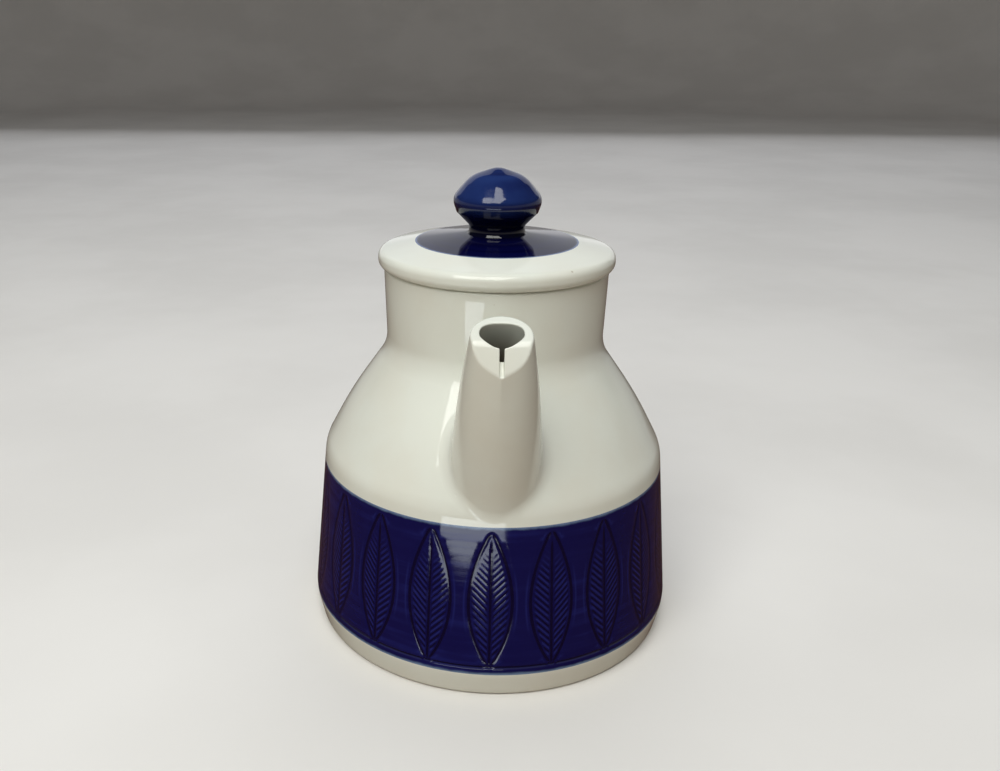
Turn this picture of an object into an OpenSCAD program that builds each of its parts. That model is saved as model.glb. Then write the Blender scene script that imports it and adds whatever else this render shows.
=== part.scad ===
// Glazed pot with a loose lid: a hollow turned body with a blue relief band,
// a luted spout and handle, and a lid with a blue disc and a blue knob.
// Frame: the origin is on the pot's axis where it stands, +Z is up and the spout points to -Y.

/* [Body] */
// Diameter of the foot where it meets the table
foot_d = 132; // [110:0.5:155]
// Diameter of the corner at the lower edge of the band, before it is rounded
body_d = 136.2; // [115:0.2:165]
// Height of the white foot below the band
foot_h = 9.4; // [5:0.2:14]
// Diameter of the body at the corner of the shoulder
shoulder_d = 124.8; // [105:0.2:150]
// Height of the corner of the shoulder
shoulder_z = 67.6; // [58:0.2:80]
// Diameter of the sloping flank at its middle
flank_d = 106.6; // [90:0.2:128]
// Height of the middle of the flank
flank_z = 84.7; // [76:0.2:98]
// How much smaller the bottom of the neck is than the mouth, in radius
neck_taper = 0.9; // [0:0.1:3]
// Height of the bottom of the neck
neck_z = 105; // [98:0.2:122]
// Outer diameter of the mouth
mouth_d = 79.6; // [68:0.2:96]
// Height of the rim that the lid rests on
rim_z = 133.6; // [124:0.2:162]
// Thickness of the pot's wall
wall = 4; // [3:0.1:6]
// Thickness of the pot's floor
floor_t = 4.5; // [3.5:0.1:7]
// Width of the bare ring that the pot stands on
ring_w = 5; // [3:0.1:8]
// Depth of the hollow under the pot
foot_hollow = 2.5; // [1:0.1:4]

/* [Blue band] */
// Height of the band
band_h = 52.9; // [40:0.1:60]
// Thickness of the blue coat, which lies flush in the wall
coat_t = 0.6; // [0.3:0.1:1]

/* [Spout] */
// Lean of the spout's axis from upright, in degrees
spout_lean = 24; // [16:0.5:32]
// Height of the spout's root on the flank
spout_root_z = 84; // [78:0.5:94]
// Outer diameter of the spout at its root
spout_root_d = 29.2; // [24:0.2:35.2]
// Outer diameter of the spout at its lip
spout_tip_d = 18.2; // [14:0.2:22]
// Length of the spout's axis, from the flank to the lip
spout_len = 51; // [40:0.5:60]
// Thickness of the spout's wall
spout_wall = 3; // [2:0.1:4.5]
// Slope of the rim of the lip, in degrees
lip_slope = 21; // [10:1:30]
// Slope of the lip's beak below the rim, in degrees
beak_slope = 68; // [55:1:80]
// Distance of the beak's upper edge in front of the spout's axis
beak_start = 2.7; // [1:0.1:4]
// Width of the drip slit in the beak
slit_w = 1.3; // [0.8:0.1:2.5]
// Depth of the drip slit below the beak's upper edge, along the spout's axis
slit_depth = 3; // [1:0.1:4]
// Slope of the floor of the drip slit, in degrees
slit_slope = 57; // [45:1:66]
// Width of the fillet round the spout's root
spout_fillet = 4.5; // [2:0.1:6]
// Height of the fillet round the spout's root
spout_fillet_h = 7.2; // [4:0.1:10]

/* [Strainer] */
// Diameter of the holes pierced behind the spout
sieve_hole_d = 4.4; // [2:0.1:5]
// Number of holes in the ring round the middle hole
sieve_ring_count = 6; // [4:1:6]
// Radius of the ring of holes
sieve_ring_r = 6.6; // [5.5:0.1:7.2]

/* [Handle] */
// Height of the middle of the strap where it leaves the neck
handle_top_z = 121; // [115:0.5:124]
// Distance of the handle's outermost face from the pot's axis
handle_reach = 80.6; // [76:0.2:100]
// Radius of the loop, at the middle of the strap
handle_loop_r = 25.5; // [20:0.5:30]
// Width of the strap
strap_w = 18; // [12:0.5:26]
// Thickness of the strap
strap_t = 9; // [6:0.2:12]

/* [Lid] */
// Distance that the lid's rim stands out past the mouth
lid_overhang = 2; // [1.5:0.1:6]
// Height of the lid's rounded rim
lid_rim_h = 5.8; // [4:0.1:8]
// Diameter of the blue disc
disc_d = 57.6; // [44:0.2:66]
// Height of the disc's edge above the lid's seat
disc_rise = 8.7; // [6.5:0.1:11]
// Height of the knob's seat above the lid's seat
seat_rise = 11.3; // [9:0.1:14]
// Thickness of the lid
lid_t = 4.2; // [3:0.1:6]
// Thickness of the blue disc's coat
disc_t = 0.5; // [0.3:0.1:0.8]
// Depth of the flange below the seat
flange_depth = 12; // [6:0.5:18]
// Thickness of the flange's wall
flange_wall = 3; // [2:0.1:4.5]
// Gap between the flange and the mouth, all round
flange_gap = 0.8; // [0.4:0.1:1.5]

/* [Knob] */
// Diameter of the corner at the knob's widest place, before it is rounded
knob_d = 31.8; // [24:0.2:38]
// Diameter of the knob's neck
knob_neck_d = 17.6; // [12:0.2:22]
// Diameter of the knob's base on the lid
knob_base_d = 21; // [18:0.2:26]
// Height of the neck above the knob's seat
knob_neck_h = 2; // [1:0.1:4]
// Height of the crease under the knob's head
knob_crease_h = 7.6; // [5:0.1:10]
// Diameter of the knob at the crease
knob_crease_d = 28.6; // [22:0.2:34]
// Height of the corner at the knob's widest place
knob_mid_h = 12.3; // [10:0.1:16]
// Diameter of the corner between the knob's side and its top
knob_dome_d = 19; // [14:0.2:24]
// Height of the corner between the knob's side and its top
knob_dome_h = 19.9; // [15:0.1:26]
// Height of the whole knob
knob_h = 22.7; // [16:0.1:30]

/* [Hidden] */
$fn = 96;

porcelain = [0.90, 0.90, 0.86];
cobalt = [0.07, 0.09, 0.40];

ARC_STEPS = 6;
OVER = 1;
FOOT_EDGE_R = 1.6;
BAND_EDGE_R = 12;
SHOULDER_R = 15;
FLANK_R = 150;
NECK_R = 15;
RIM_EDGE_R = 1.2;
FLOOR_CORNER_R = 10;
LID_RIM_R = 2.7;
LID_HOLLOW_R = 3;
KNOB_NECK_R = 2.7;
KNOB_CREASE_R = 0.8;
KNOB_MID_R = 4.4;
KNOB_DOME_R = 12;
FLANGE_EDGE_R = 1;
SPOUT_BELOW = 0.5;
SPOUT_ABOVE = 0.25;
SPOUT_STEPS = 12;
STRAP_STEPS = 16;
STRAP_SQUARENESS = 0.75;
LOOP_END = 100;
ROOM_BY_SHARP = 0.95;
ROOM_BY_ROUND = 0.5;

foot_r = foot_d / 2;
body_r = body_d / 2;
shoulder_r = shoulder_d / 2;
flank_r = flank_d / 2;
mouth_r = mouth_d / 2;
neck_r = mouth_r - neck_taper;
mouth_bore_r = mouth_r - wall;
band_top_z = foot_h + band_h;
floor_z = foot_hollow + floor_t;

spout_root_r = wall_r(spout_root_z);
flank_tilt = atan((shoulder_r - neck_r) / (neck_z - shoulder_z));

flange_r = mouth_bore_r - flange_gap;
flange_bore_r = flange_r - flange_wall;
lid_r = mouth_r + lid_overhang;
disc_r = disc_d / 2;
knob_seat_r = knob_base_d / 2;
knob_seat_z = rim_z + seat_rise;

handle_loop_y = handle_reach - strap_t / 2 - handle_loop_r;
handle_loop_z = handle_top_z - handle_loop_r;

// Room that an arc has on the side from corner p to corner q, which may be rounded too
function arc_room(p, q) = norm([q.x - p.x, q.y - p.y]) * (q[2] == 0 ? ROOM_BY_SHARP : ROOM_BY_ROUND);

// Points of an arc that rounds the corner b, between its neighbours a and c, within the room it has
function corner_arc(a, b, c, radius, room) =
  let (
    u = (a - b) / norm(a - b),
    v = (c - b) / norm(c - b),
    half = acos(u * v) / 2,
    cut = min(radius / tan(half), room),
    arc_r = cut * tan(half),
    centre = b + (u + v) / norm(u + v) * arc_r / sin(half),
    start = b + u * cut - centre,
    stop = b + v * cut - centre,
    first = atan2(start.y, start.x),
    turn = (atan2(stop.y, stop.x) - first + 540) % 360 - 180
  )
  [for (i = [0:ARC_STEPS]) centre + arc_r * dir(first + turn * i / ARC_STEPS)];

// Unit vector at an angle
function dir(angle) = [cos(angle), sin(angle)];

// Closed outline through [x, y, corner radius] points
function rounded(path) =
  let (n = len(path), points = [for (p = path) [p.x, p.y]])
  [for (i = [0:n - 1])
    let (before = (i + n - 1) % n, after = (i + 1) % n)
    each path[i][2] == 0
      ? [points[i]]
      : corner_arc(points[before], points[i], points[after], path[i][2],
                   min(arc_room(path[i], path[before]), arc_room(path[i], path[after])))];

// Outer radius of the wall at a height, before its corners are rounded
function wall_r(z) =
  lookup(z, [[0, foot_r], [foot_h, body_r], [shoulder_z, shoulder_r],
             [flank_z, flank_r], [neck_z, neck_r], [rim_z, mouth_r]]);

// Outer radius of the spout at a share t of its length: it narrows faster towards the lip
function spout_r(t) =
  let (ease = (t + t * abs(t)) / 2)
  (spout_root_d + (spout_tip_d - spout_root_d) * ease) / 2;

// Outline of the strap: a squared oval, thick along x and wide along y
strap_outline = [for (i = [0:STRAP_STEPS - 1])
  let (c = cos(i * 360 / STRAP_STEPS), s = sin(i * 360 / STRAP_STEPS))
  [sign(c) * pow(abs(c), STRAP_SQUARENESS) * strap_t / 2,
   sign(s) * pow(abs(s), STRAP_SQUARENESS) * strap_w / 2]];

// ---- outlines ----

module outer_outline() {
  polygon(rounded([
    [0, 0, 0],
    [foot_r, 0, FOOT_EDGE_R],
    [body_r, foot_h, BAND_EDGE_R],
    [shoulder_r, shoulder_z, SHOULDER_R],
    [flank_r, flank_z, FLANK_R],
    [neck_r, neck_z, NECK_R],
    [mouth_r, rim_z, RIM_EDGE_R],
    [0, rim_z, 0]]));
}

module inner_outline() {
  polygon(rounded([
    [0, floor_z, 0],
    [body_r - wall, floor_z, FLOOR_CORNER_R],
    [shoulder_r - wall, shoulder_z, SHOULDER_R],
    [flank_r - wall, flank_z, FLANK_R],
    [neck_r - wall, neck_z, NECK_R],
    [mouth_bore_r, rim_z, 0],
    [mouth_bore_r, rim_z + OVER, 0],
    [0, rim_z + OVER, 0]]));
}

module foot_hollow_outline() {
  hollow_r = foot_r - FOOT_EDGE_R - ring_w;
  polygon([[0, -OVER], [hollow_r + OVER, -OVER], [hollow_r - foot_hollow, foot_hollow], [0, foot_hollow]]);
}

// The blue coat's section: the outermost skin of the wall between the band's two edges
module band_outline() {
  intersection() {
    difference() {
      outer_outline();
      translate([-coat_t, 0]) outer_outline();
    }
    translate([0, foot_h]) square([body_r + OVER, band_h]);
  }
}

module body_solid() {
  rotate_extrude() outer_outline();
}

// ---- pot ----

// A hole pierced square through the flank, offset sideways and along the slope from the spout's root
module sieve_hole(across, along) {
  translate([0, -spout_root_r, spout_root_z])
    rotate([90 - flank_tilt, 0, 0])
      translate([across, along, -3 * wall])
        cylinder(d = sieve_hole_d, h = 6 * wall);
}

module sieve_holes() {
  sieve_hole(0, 0);
  for (i = [0:sieve_ring_count - 1]) {
    angle = i * 360 / sieve_ring_count;
    sieve_hole(sieve_ring_r * cos(angle), sieve_ring_r * sin(angle));
  }
}

module pot_body() {
  color(porcelain)
    difference() {
      rotate_extrude()
        difference() {
          outer_outline();
          inner_outline();
          foot_hollow_outline();
          band_outline();
        }
      sieve_holes();
    }
}

module blue_band() {
  color(cobalt)
    rotate_extrude() band_outline();
}

// ---- spout ----

// Puts a shape made along +Z, with its front at -Y, on the flank and leans it forward
module at_spout_root() {
  translate([0, -spout_root_r, spout_root_z])
    rotate([spout_lean, 0, 0])
      children();
}

// Turned shape from inside the pot to beyond the lip, thinner than the spout by inset
module spout_turning(inset, extra) {
  first = -SPOUT_BELOW - extra;
  last = 1 + SPOUT_ABOVE + extra;
  rotate_extrude()
    polygon([
      [0, first * spout_len],
      for (i = [0:SPOUT_STEPS])
        let (t = first + (last - first) * i / SPOUT_STEPS)
        [spout_r(t) - inset, t * spout_len],
      [0, last * spout_len]]);
}

// Widened foot of the spout, turned square to the flank
module spout_root_fillet() {
  foot_of_spout_r = spout_root_d / 2 + spout_fillet;
  sweep_in = spout_fillet + spout_wall;
  translate([0, -spout_root_r, spout_root_z])
    rotate([90 - flank_tilt, 0, 0])
      rotate_extrude()
        polygon([
          [0, -2 * wall],
          [foot_of_spout_r, -2 * wall],
          for (i = [0:ARC_STEPS])
            let (angle = 90 * i / ARC_STEPS)
            [foot_of_spout_r - sweep_in * sin(angle), spout_fillet_h * (1 - cos(angle))],
          [0, spout_fillet_h]]);
}

// Upper edge of the beak, in the plane through the spout's axis
lip_knee = [-beak_start, spout_len - beak_start * tan(lip_slope - spout_lean)];
lip_reach = 2 * spout_root_d;

// Extrudes an outline drawn in the spout's middle plane to a width across it
module across_spout(width) {
  rotate([90, 0, 90])
    translate([0, 0, -width / 2])
      linear_extrude(width)
        children();
}

// Everything above the lip: its rim slopes down to the front, then drops along the beak
module above_lip() {
  across_spout(lip_reach)
    polygon([
      lip_knee,
      lip_knee + lip_reach * dir(lip_slope - spout_lean),
      lip_knee + lip_reach * [1, 2],
      lip_knee + lip_reach * [-2, 2],
      lip_knee + lip_reach * dir(180 + beak_slope - spout_lean)]);
}

// The slit opens the beak to the bore and runs out at the beak's tip
module drip_slit() {
  floor_start = lip_knee - [0, slit_depth];
  floor_end = floor_start + lip_reach * dir(180 + slit_slope - spout_lean);
  across_spout(slit_w)
    polygon([floor_start, floor_start + [0, lip_reach], floor_end + [0, lip_reach], floor_end]);
}

module spout() {
  color(porcelain)
    difference() {
      union() {
        at_spout_root() spout_turning(0, 0);
        spout_root_fillet();
      }
      at_spout_root() spout_turning(spout_wall, 0.1);
      at_spout_root() above_lip();
      at_spout_root() drip_slit();
      body_solid();
    }
}

// ---- handle ----

module handle() {
  color(porcelain)
    difference() {
      union() {
        translate([0, 0, handle_top_z])
          rotate(a = -120, v = [1, 1, 1])
            linear_extrude(handle_loop_y)
              polygon(strap_outline);
        translate([0, handle_loop_y, handle_loop_z])
          rotate([0, 90, 0])
            rotate([0, 0, 90 - LOOP_END])
              rotate_extrude(angle = 90 + LOOP_END)
                translate([handle_loop_r, 0])
                  polygon(strap_outline);
      }
      body_solid();
    }
}

// ---- lid ----

module lid_plate() {
  color(porcelain)
    rotate_extrude()
      difference() {
        polygon(rounded([
          [0, knob_seat_z - lid_t, 0],
          [flange_bore_r, rim_z + disc_rise - lid_t, LID_HOLLOW_R],
          [flange_bore_r, rim_z, 0],
          [lid_r, rim_z, LID_RIM_R],
          [lid_r, rim_z + lid_rim_h, LID_RIM_R],
          [disc_r, rim_z + disc_rise, 0],
          [knob_seat_r, knob_seat_z, 0],
          [0, knob_seat_z, 0]]));
        disc_outline();
      }
}

// The blue coat's section on the lid, from the knob's base out to the disc's edge
module disc_outline() {
  inner = [knob_seat_r, knob_seat_z];
  outer = [disc_r, rim_z + disc_rise];
  polygon([inner, inner - [0, disc_t], outer - [0, disc_t], outer]);
}

module lid_disc() {
  color(cobalt)
    rotate_extrude() disc_outline();
}

module lid_flange() {
  color(porcelain)
    rotate_extrude()
      polygon(rounded([
        [flange_bore_r, rim_z - flange_depth, FLANGE_EDGE_R],
        [flange_r, rim_z - flange_depth, FLANGE_EDGE_R],
        [flange_r, rim_z, 0],
        [flange_bore_r, rim_z, 0]]));
}

module lid_knob() {
  color(cobalt)
    translate([0, 0, knob_seat_z])
      rotate_extrude()
        polygon(rounded([
          [0, 0, 0],
          [knob_seat_r, 0, 0],
          [knob_neck_d / 2, knob_neck_h, KNOB_NECK_R],
          [knob_crease_d / 2, knob_crease_h, KNOB_CREASE_R],
          [knob_d / 2, knob_mid_h, KNOB_MID_R],
          [knob_dome_d / 2, knob_dome_h, KNOB_DOME_R],
          [0, knob_h, 0]]));
}

pot_body();
blue_band();
spout();
handle();
lid_plate();
lid_flange();
lid_disc();
lid_knob();
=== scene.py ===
"""The finished look of a glazed pot with a loose lid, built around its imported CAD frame.

Sizes are in millimetres until a mesh is made. The pot stands on the origin, with its spout at -Y.
"""

import logging
import math
from collections.abc import Sequence
from dataclasses import dataclass, field
from enum import Enum

import bpy
import numpy as np
from mathutils import Matrix, Vector


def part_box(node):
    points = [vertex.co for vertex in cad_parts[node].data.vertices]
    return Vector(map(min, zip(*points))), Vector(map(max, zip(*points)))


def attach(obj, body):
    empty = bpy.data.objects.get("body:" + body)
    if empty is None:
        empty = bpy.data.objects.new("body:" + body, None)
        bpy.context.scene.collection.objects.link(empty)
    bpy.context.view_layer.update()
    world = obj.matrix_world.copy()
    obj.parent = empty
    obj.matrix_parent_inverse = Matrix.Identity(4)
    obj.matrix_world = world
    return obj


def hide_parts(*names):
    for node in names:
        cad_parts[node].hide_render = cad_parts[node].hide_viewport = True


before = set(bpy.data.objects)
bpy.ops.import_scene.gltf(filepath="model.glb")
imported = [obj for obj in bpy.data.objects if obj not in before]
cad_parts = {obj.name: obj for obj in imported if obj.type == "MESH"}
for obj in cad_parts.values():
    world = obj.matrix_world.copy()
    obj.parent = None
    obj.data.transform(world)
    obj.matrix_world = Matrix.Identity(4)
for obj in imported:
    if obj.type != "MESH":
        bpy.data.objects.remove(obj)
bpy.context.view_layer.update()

LOG = logging.getLogger("pot")
MM = 0.001
TURN = 2 * math.pi
CRISP_ANGLE = math.radians(38)
CRISP_LUTED_ANGLE = math.radians(60)
FLAT_REACH = 0.12
GLAZE_IOR = 1.52
SENSOR_WIDTH = 36.0
LEAST_LEAF_WIDTH = 2.3

Colour = tuple[float, float, float]


class Body(Enum):
    """The two bodies of the frame, which the pieces ride on."""

    POT = "pot"
    LID = "lid"


class Slot(Enum):
    """The material slots of the record."""

    WHITE = "white_glaze"
    BLUE_RELIEF = "blue_relief_glaze"
    BLUE = "blue_glaze"


# ---- sizes from the frame ----


@dataclass(frozen=True)
class NodeBox:
    """The lowest and highest corner of a CAD node, in millimetres."""

    low: Vector
    high: Vector

    @classmethod
    def of(cls, node: str) -> "NodeBox":
        """Reads a node's box.

        Args:
            node: The CAD node's name.

        Returns:
            Its box.
        """
        low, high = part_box(node)
        return cls(low / MM, high / MM)

    @property
    def radius(self) -> float:
        """Radius of a node that is turned round the pot's axis."""
        return self.high.x


# ---- outlines ----


@dataclass(frozen=True)
class Corner:
    """A corner of a turned outline: its radius and height, and how round it is."""

    r: float
    z: float
    rounding: float = 0.0


def arc_through(before: np.ndarray, corner: np.ndarray, after: np.ndarray,
                rounding: float) -> list[np.ndarray]:
    """Rounds one corner with an arc.

    Args:
        before: The point before the corner.
        corner: The corner.
        after: The point after the corner.
        rounding: Radius of the arc.

    Returns:
        Points along the arc, close enough that it looks round.
    """
    sagitta = 0.004
    u = (before - corner) / np.linalg.norm(before - corner)
    v = (after - corner) / np.linalg.norm(after - corner)
    half = math.acos(float(np.clip(u @ v, -1, 1))) / 2
    centre = corner + (u + v) / np.linalg.norm(u + v) * rounding / math.sin(half)
    start = corner + u * rounding / math.tan(half) - centre
    stop = corner + v * rounding / math.tan(half) - centre
    first = math.atan2(start[1], start[0])
    turn = (math.atan2(stop[1], stop[0]) - first + 3 * math.pi) % TURN - math.pi
    steps = max(3, math.ceil(abs(turn) * rounding / math.sqrt(8 * rounding * sagitta)))
    angles = first + turn * np.arange(steps + 1) / steps
    return [centre + rounding * np.array([math.cos(a), math.sin(a)]) for a in angles]


def rounded(corners: Sequence[Corner], side_step: float = 2.5) -> np.ndarray:
    """Draws an open outline through corners.

    Args:
        corners: The outline's corners. The first and the last stay sharp.
        side_step: Longest straight piece.

    Returns:
        The outline's points, one [radius, height] row each.
    """
    points = [np.array([c.r, c.z]) for c in corners]
    path = [points[0]]
    for before, corner, after, spec in zip(points, points[1:], points[2:], corners[1:]):
        path += arc_through(before, corner, after, spec.rounding) if spec.rounding else [corner]
    path.append(points[-1])
    fine = [path[0]]
    for a, b in zip(path, path[1:]):
        pieces = max(1, math.ceil(np.linalg.norm(b - a) / side_step))
        fine += [a + (b - a) * i / pieces for i in range(1, pieces + 1)]
    return np.array(fine)


def ended_on_axis(outline: np.ndarray) -> np.ndarray:
    """Cuts off what lies across the axis.

    Args:
        outline: Outline that crosses the axis at its end.

    Returns:
        The outline up to a last point on the axis.
    """
    across = int(np.argmax(outline[:, 0] < 1e-6))
    a, b = outline[across - 1], outline[across]
    share = a[0] / (a[0] - b[0])
    return np.vstack([outline[:across], [0.0, a[1] + (b[1] - a[1]) * share]])


# ---- meshes ----


def make_object(name: str, points: np.ndarray, faces: Sequence[Sequence[int]],
                sharp: float = CRISP_ANGLE) -> bpy.types.Object:
    """Makes a smooth-shaded object whose edges stay crisp where they turn sharply.

    Args:
        name: Name of the object and its mesh.
        points: Vertices in millimetres, one row each.
        faces: Vertex numbers of each face.
        sharp: Angle above which an edge stays crisp.

    Returns:
        The object, linked to the scene, at the origin.
    """
    mesh = bpy.data.meshes.new(name)
    mesh.from_pydata((points * MM).tolist(), [], [list(f) for f in faces])
    mesh.validate()
    mesh.shade_smooth()
    mesh.set_sharp_from_angle(angle=sharp)
    piece = bpy.data.objects.new(name, mesh)
    bpy.context.scene.collection.objects.link(piece)
    return piece


def grid_faces(rows: int, columns: int, wrap_rows: bool = False) -> list[tuple[int, int, int, int]]:
    """Quads of a grid whose columns close on themselves.

    Args:
        rows: Number of rows.
        columns: Number of points in each row.
        wrap_rows: Whether the last row joins the first.

    Returns:
        The quads, with points numbered row by row.
    """
    faces = []
    for i in range(rows if wrap_rows else rows - 1):
        low, high = i * columns, (i + 1) % rows * columns
        for j in range(columns):
            k = (j + 1) % columns
            faces.append((low + j, low + k, high + k, high + j))
    return faces


def turned(name: str, outline: np.ndarray, segments: int = 320) -> bpy.types.Object:
    """Turns an outline round the pot's axis.

    Args:
        name: Name of the piece.
        outline: [radius, height] rows, anticlockwise. It starts and ends on the axis, or closes on itself.
        segments: Number of columns.

    Returns:
        The turned piece.
    """
    solid = outline[0, 0] == 0
    rings = outline[1:-1] if solid else outline
    angles = np.arange(segments) * TURN / segments
    points = np.stack([
        np.outer(rings[:, 0], np.cos(angles)),
        np.outer(rings[:, 0], np.sin(angles)),
        np.repeat(rings[:, 1:], segments, axis=1)], axis=-1).reshape(-1, 3)
    faces: list[Sequence[int]] = list(grid_faces(len(rings), segments, wrap_rows=not solid))
    if solid:
        first, last = len(points), len(points) + 1
        points = np.vstack([points, [0, 0, outline[0, 1]], [0, 0, outline[-1, 1]]])
        top = (len(rings) - 1) * segments
        for j in range(segments):
            k = (j + 1) % segments
            faces.append((first, k, j))
            faces.append((last, top + j, top + k))
    return make_object(name, points, faces)


def resample(line: np.ndarray, lengths: np.ndarray) -> np.ndarray:
    """Points at given lengths along a line.

    Args:
        line: Points of the line, one row each.
        lengths: Distances from its start.

    Returns:
        One point for each length.
    """
    run = np.concatenate([[0], np.cumsum(np.linalg.norm(np.diff(line, axis=0), axis=1))])
    return np.stack([np.interp(lengths, run, line[:, i]) for i in range(3)], axis=1)


def bezier(a: np.ndarray, b: np.ndarray, c: np.ndarray, d: np.ndarray, shares: np.ndarray) -> np.ndarray:
    """Points of a cubic Bezier curve.

    Args:
        a: Start.
        b: First handle.
        c: Second handle.
        d: End.
        shares: Where to sample it, from 0 to 1.

    Returns:
        One point for each share.
    """
    t = shares[:, None]
    return (1 - t) ** 3 * a + 3 * (1 - t) ** 2 * t * b + 3 * (1 - t) * t ** 2 * c + t ** 3 * d


# ---- node trees ----

Input = float | tuple | bpy.types.NodeSocket


class Graph:
    """Short forms for building one node tree."""

    def __init__(self, tree: bpy.types.NodeTree) -> None:
        """Holds the tree.

        Args:
            tree: The tree to build in.
        """
        self.tree = tree

    def add(self, kind: str, inputs: dict[str | int, Input] | None = None,
            **settings: object) -> bpy.types.Node:
        """Adds a node.

        Args:
            kind: Type of the node.
            inputs: Value or source socket of each input.
            settings: Properties of the node.

        Returns:
            The node.
        """
        node = self.tree.nodes.new(kind)
        for key, value in settings.items():
            setattr(node, key, value)
        for key, value in (inputs or {}).items():
            if isinstance(value, bpy.types.NodeSocket):
                self.tree.links.new(value, node.inputs[key])
            else:
                node.inputs[key].default_value = value
        return node

    def calc(self, operation: str, a: Input, b: Input = 0.0) -> bpy.types.NodeSocket:
        """Result of a Math node.

        Args:
            operation: What it does.
            a: First value.
            b: Second value.

        Returns:
            The result's socket.
        """
        return self.add("ShaderNodeMath", {0: a, 1: b}, operation=operation).outputs[0]

    def ramp(self, value: Input, start: Input, stop: Input, low: Input = 0.0,
             high: Input = 1.0) -> bpy.types.NodeSocket:
        """Maps a value smoothly from one range to another.

        Args:
            value: The value.
            start: Where the result is low.
            stop: Where the result is high.
            low: Result at the start.
            high: Result at the stop.

        Returns:
            The result's socket.
        """
        node = self.add("ShaderNodeMapRange", {"Value": value, "From Min": start, "From Max": stop,
                                               "To Min": low, "To Max": high},
                        interpolation_type="SMOOTHSTEP")
        return node.outputs["Result"]

    def noise(self, vector: Input, scale: Input, detail: float = 2.0) -> bpy.types.NodeSocket:
        """Value of a noise texture.

        Args:
            vector: Where to read it.
            scale: Its scale, in periods per unit of the vector.
            detail: Number of finer layers.

        Returns:
            The value's socket.
        """
        return self.add("ShaderNodeTexNoise", {"Vector": vector, "Scale": scale, "Detail": detail}).outputs[0]

    def blend(self, share: Input, a: Input, b: Input) -> bpy.types.NodeSocket:
        """Mixes two colours.

        Args:
            share: Share of the second colour.
            a: First colour.
            b: Second colour.

        Returns:
            The mixed colour's socket.
        """
        node = self.add("ShaderNodeMix", data_type="RGBA")
        for socket, value in ((node.inputs[0], share), (node.inputs[6], a), (node.inputs[7], b)):
            if isinstance(value, bpy.types.NodeSocket):
                self.tree.links.new(value, socket)
            else:
                socket.default_value = (*value, 1.0) if isinstance(value, tuple) else value
        return node.outputs[2]

    def place(self) -> bpy.types.NodeSocket:
        """Place on the piece, in metres in the pot's frame."""
        return self.add("ShaderNodeTexCoord").outputs["Object"]


def new_group(name: str, inputs: dict[str, float],
              outputs: Sequence[str]) -> tuple[Graph, bpy.types.Node, bpy.types.Node]:
    """Starts a shader node group with float sockets.

    Args:
        name: Name of the group.
        inputs: Name and usual value of each input.
        outputs: Name of each output.

    Returns:
        The group's graph, its input node and its output node.
    """
    tree = bpy.data.node_groups.new(name, "ShaderNodeTree")
    for key, value in inputs.items():
        socket = tree.interface.new_socket(key, in_out="INPUT", socket_type="NodeSocketFloat")
        socket.default_value = value
    for key in outputs:
        tree.interface.new_socket(key, in_out="OUTPUT", socket_type="NodeSocketFloat")
    graph = Graph(tree)
    return graph, graph.add("NodeGroupInput"), graph.add("NodeGroupOutput")


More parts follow.
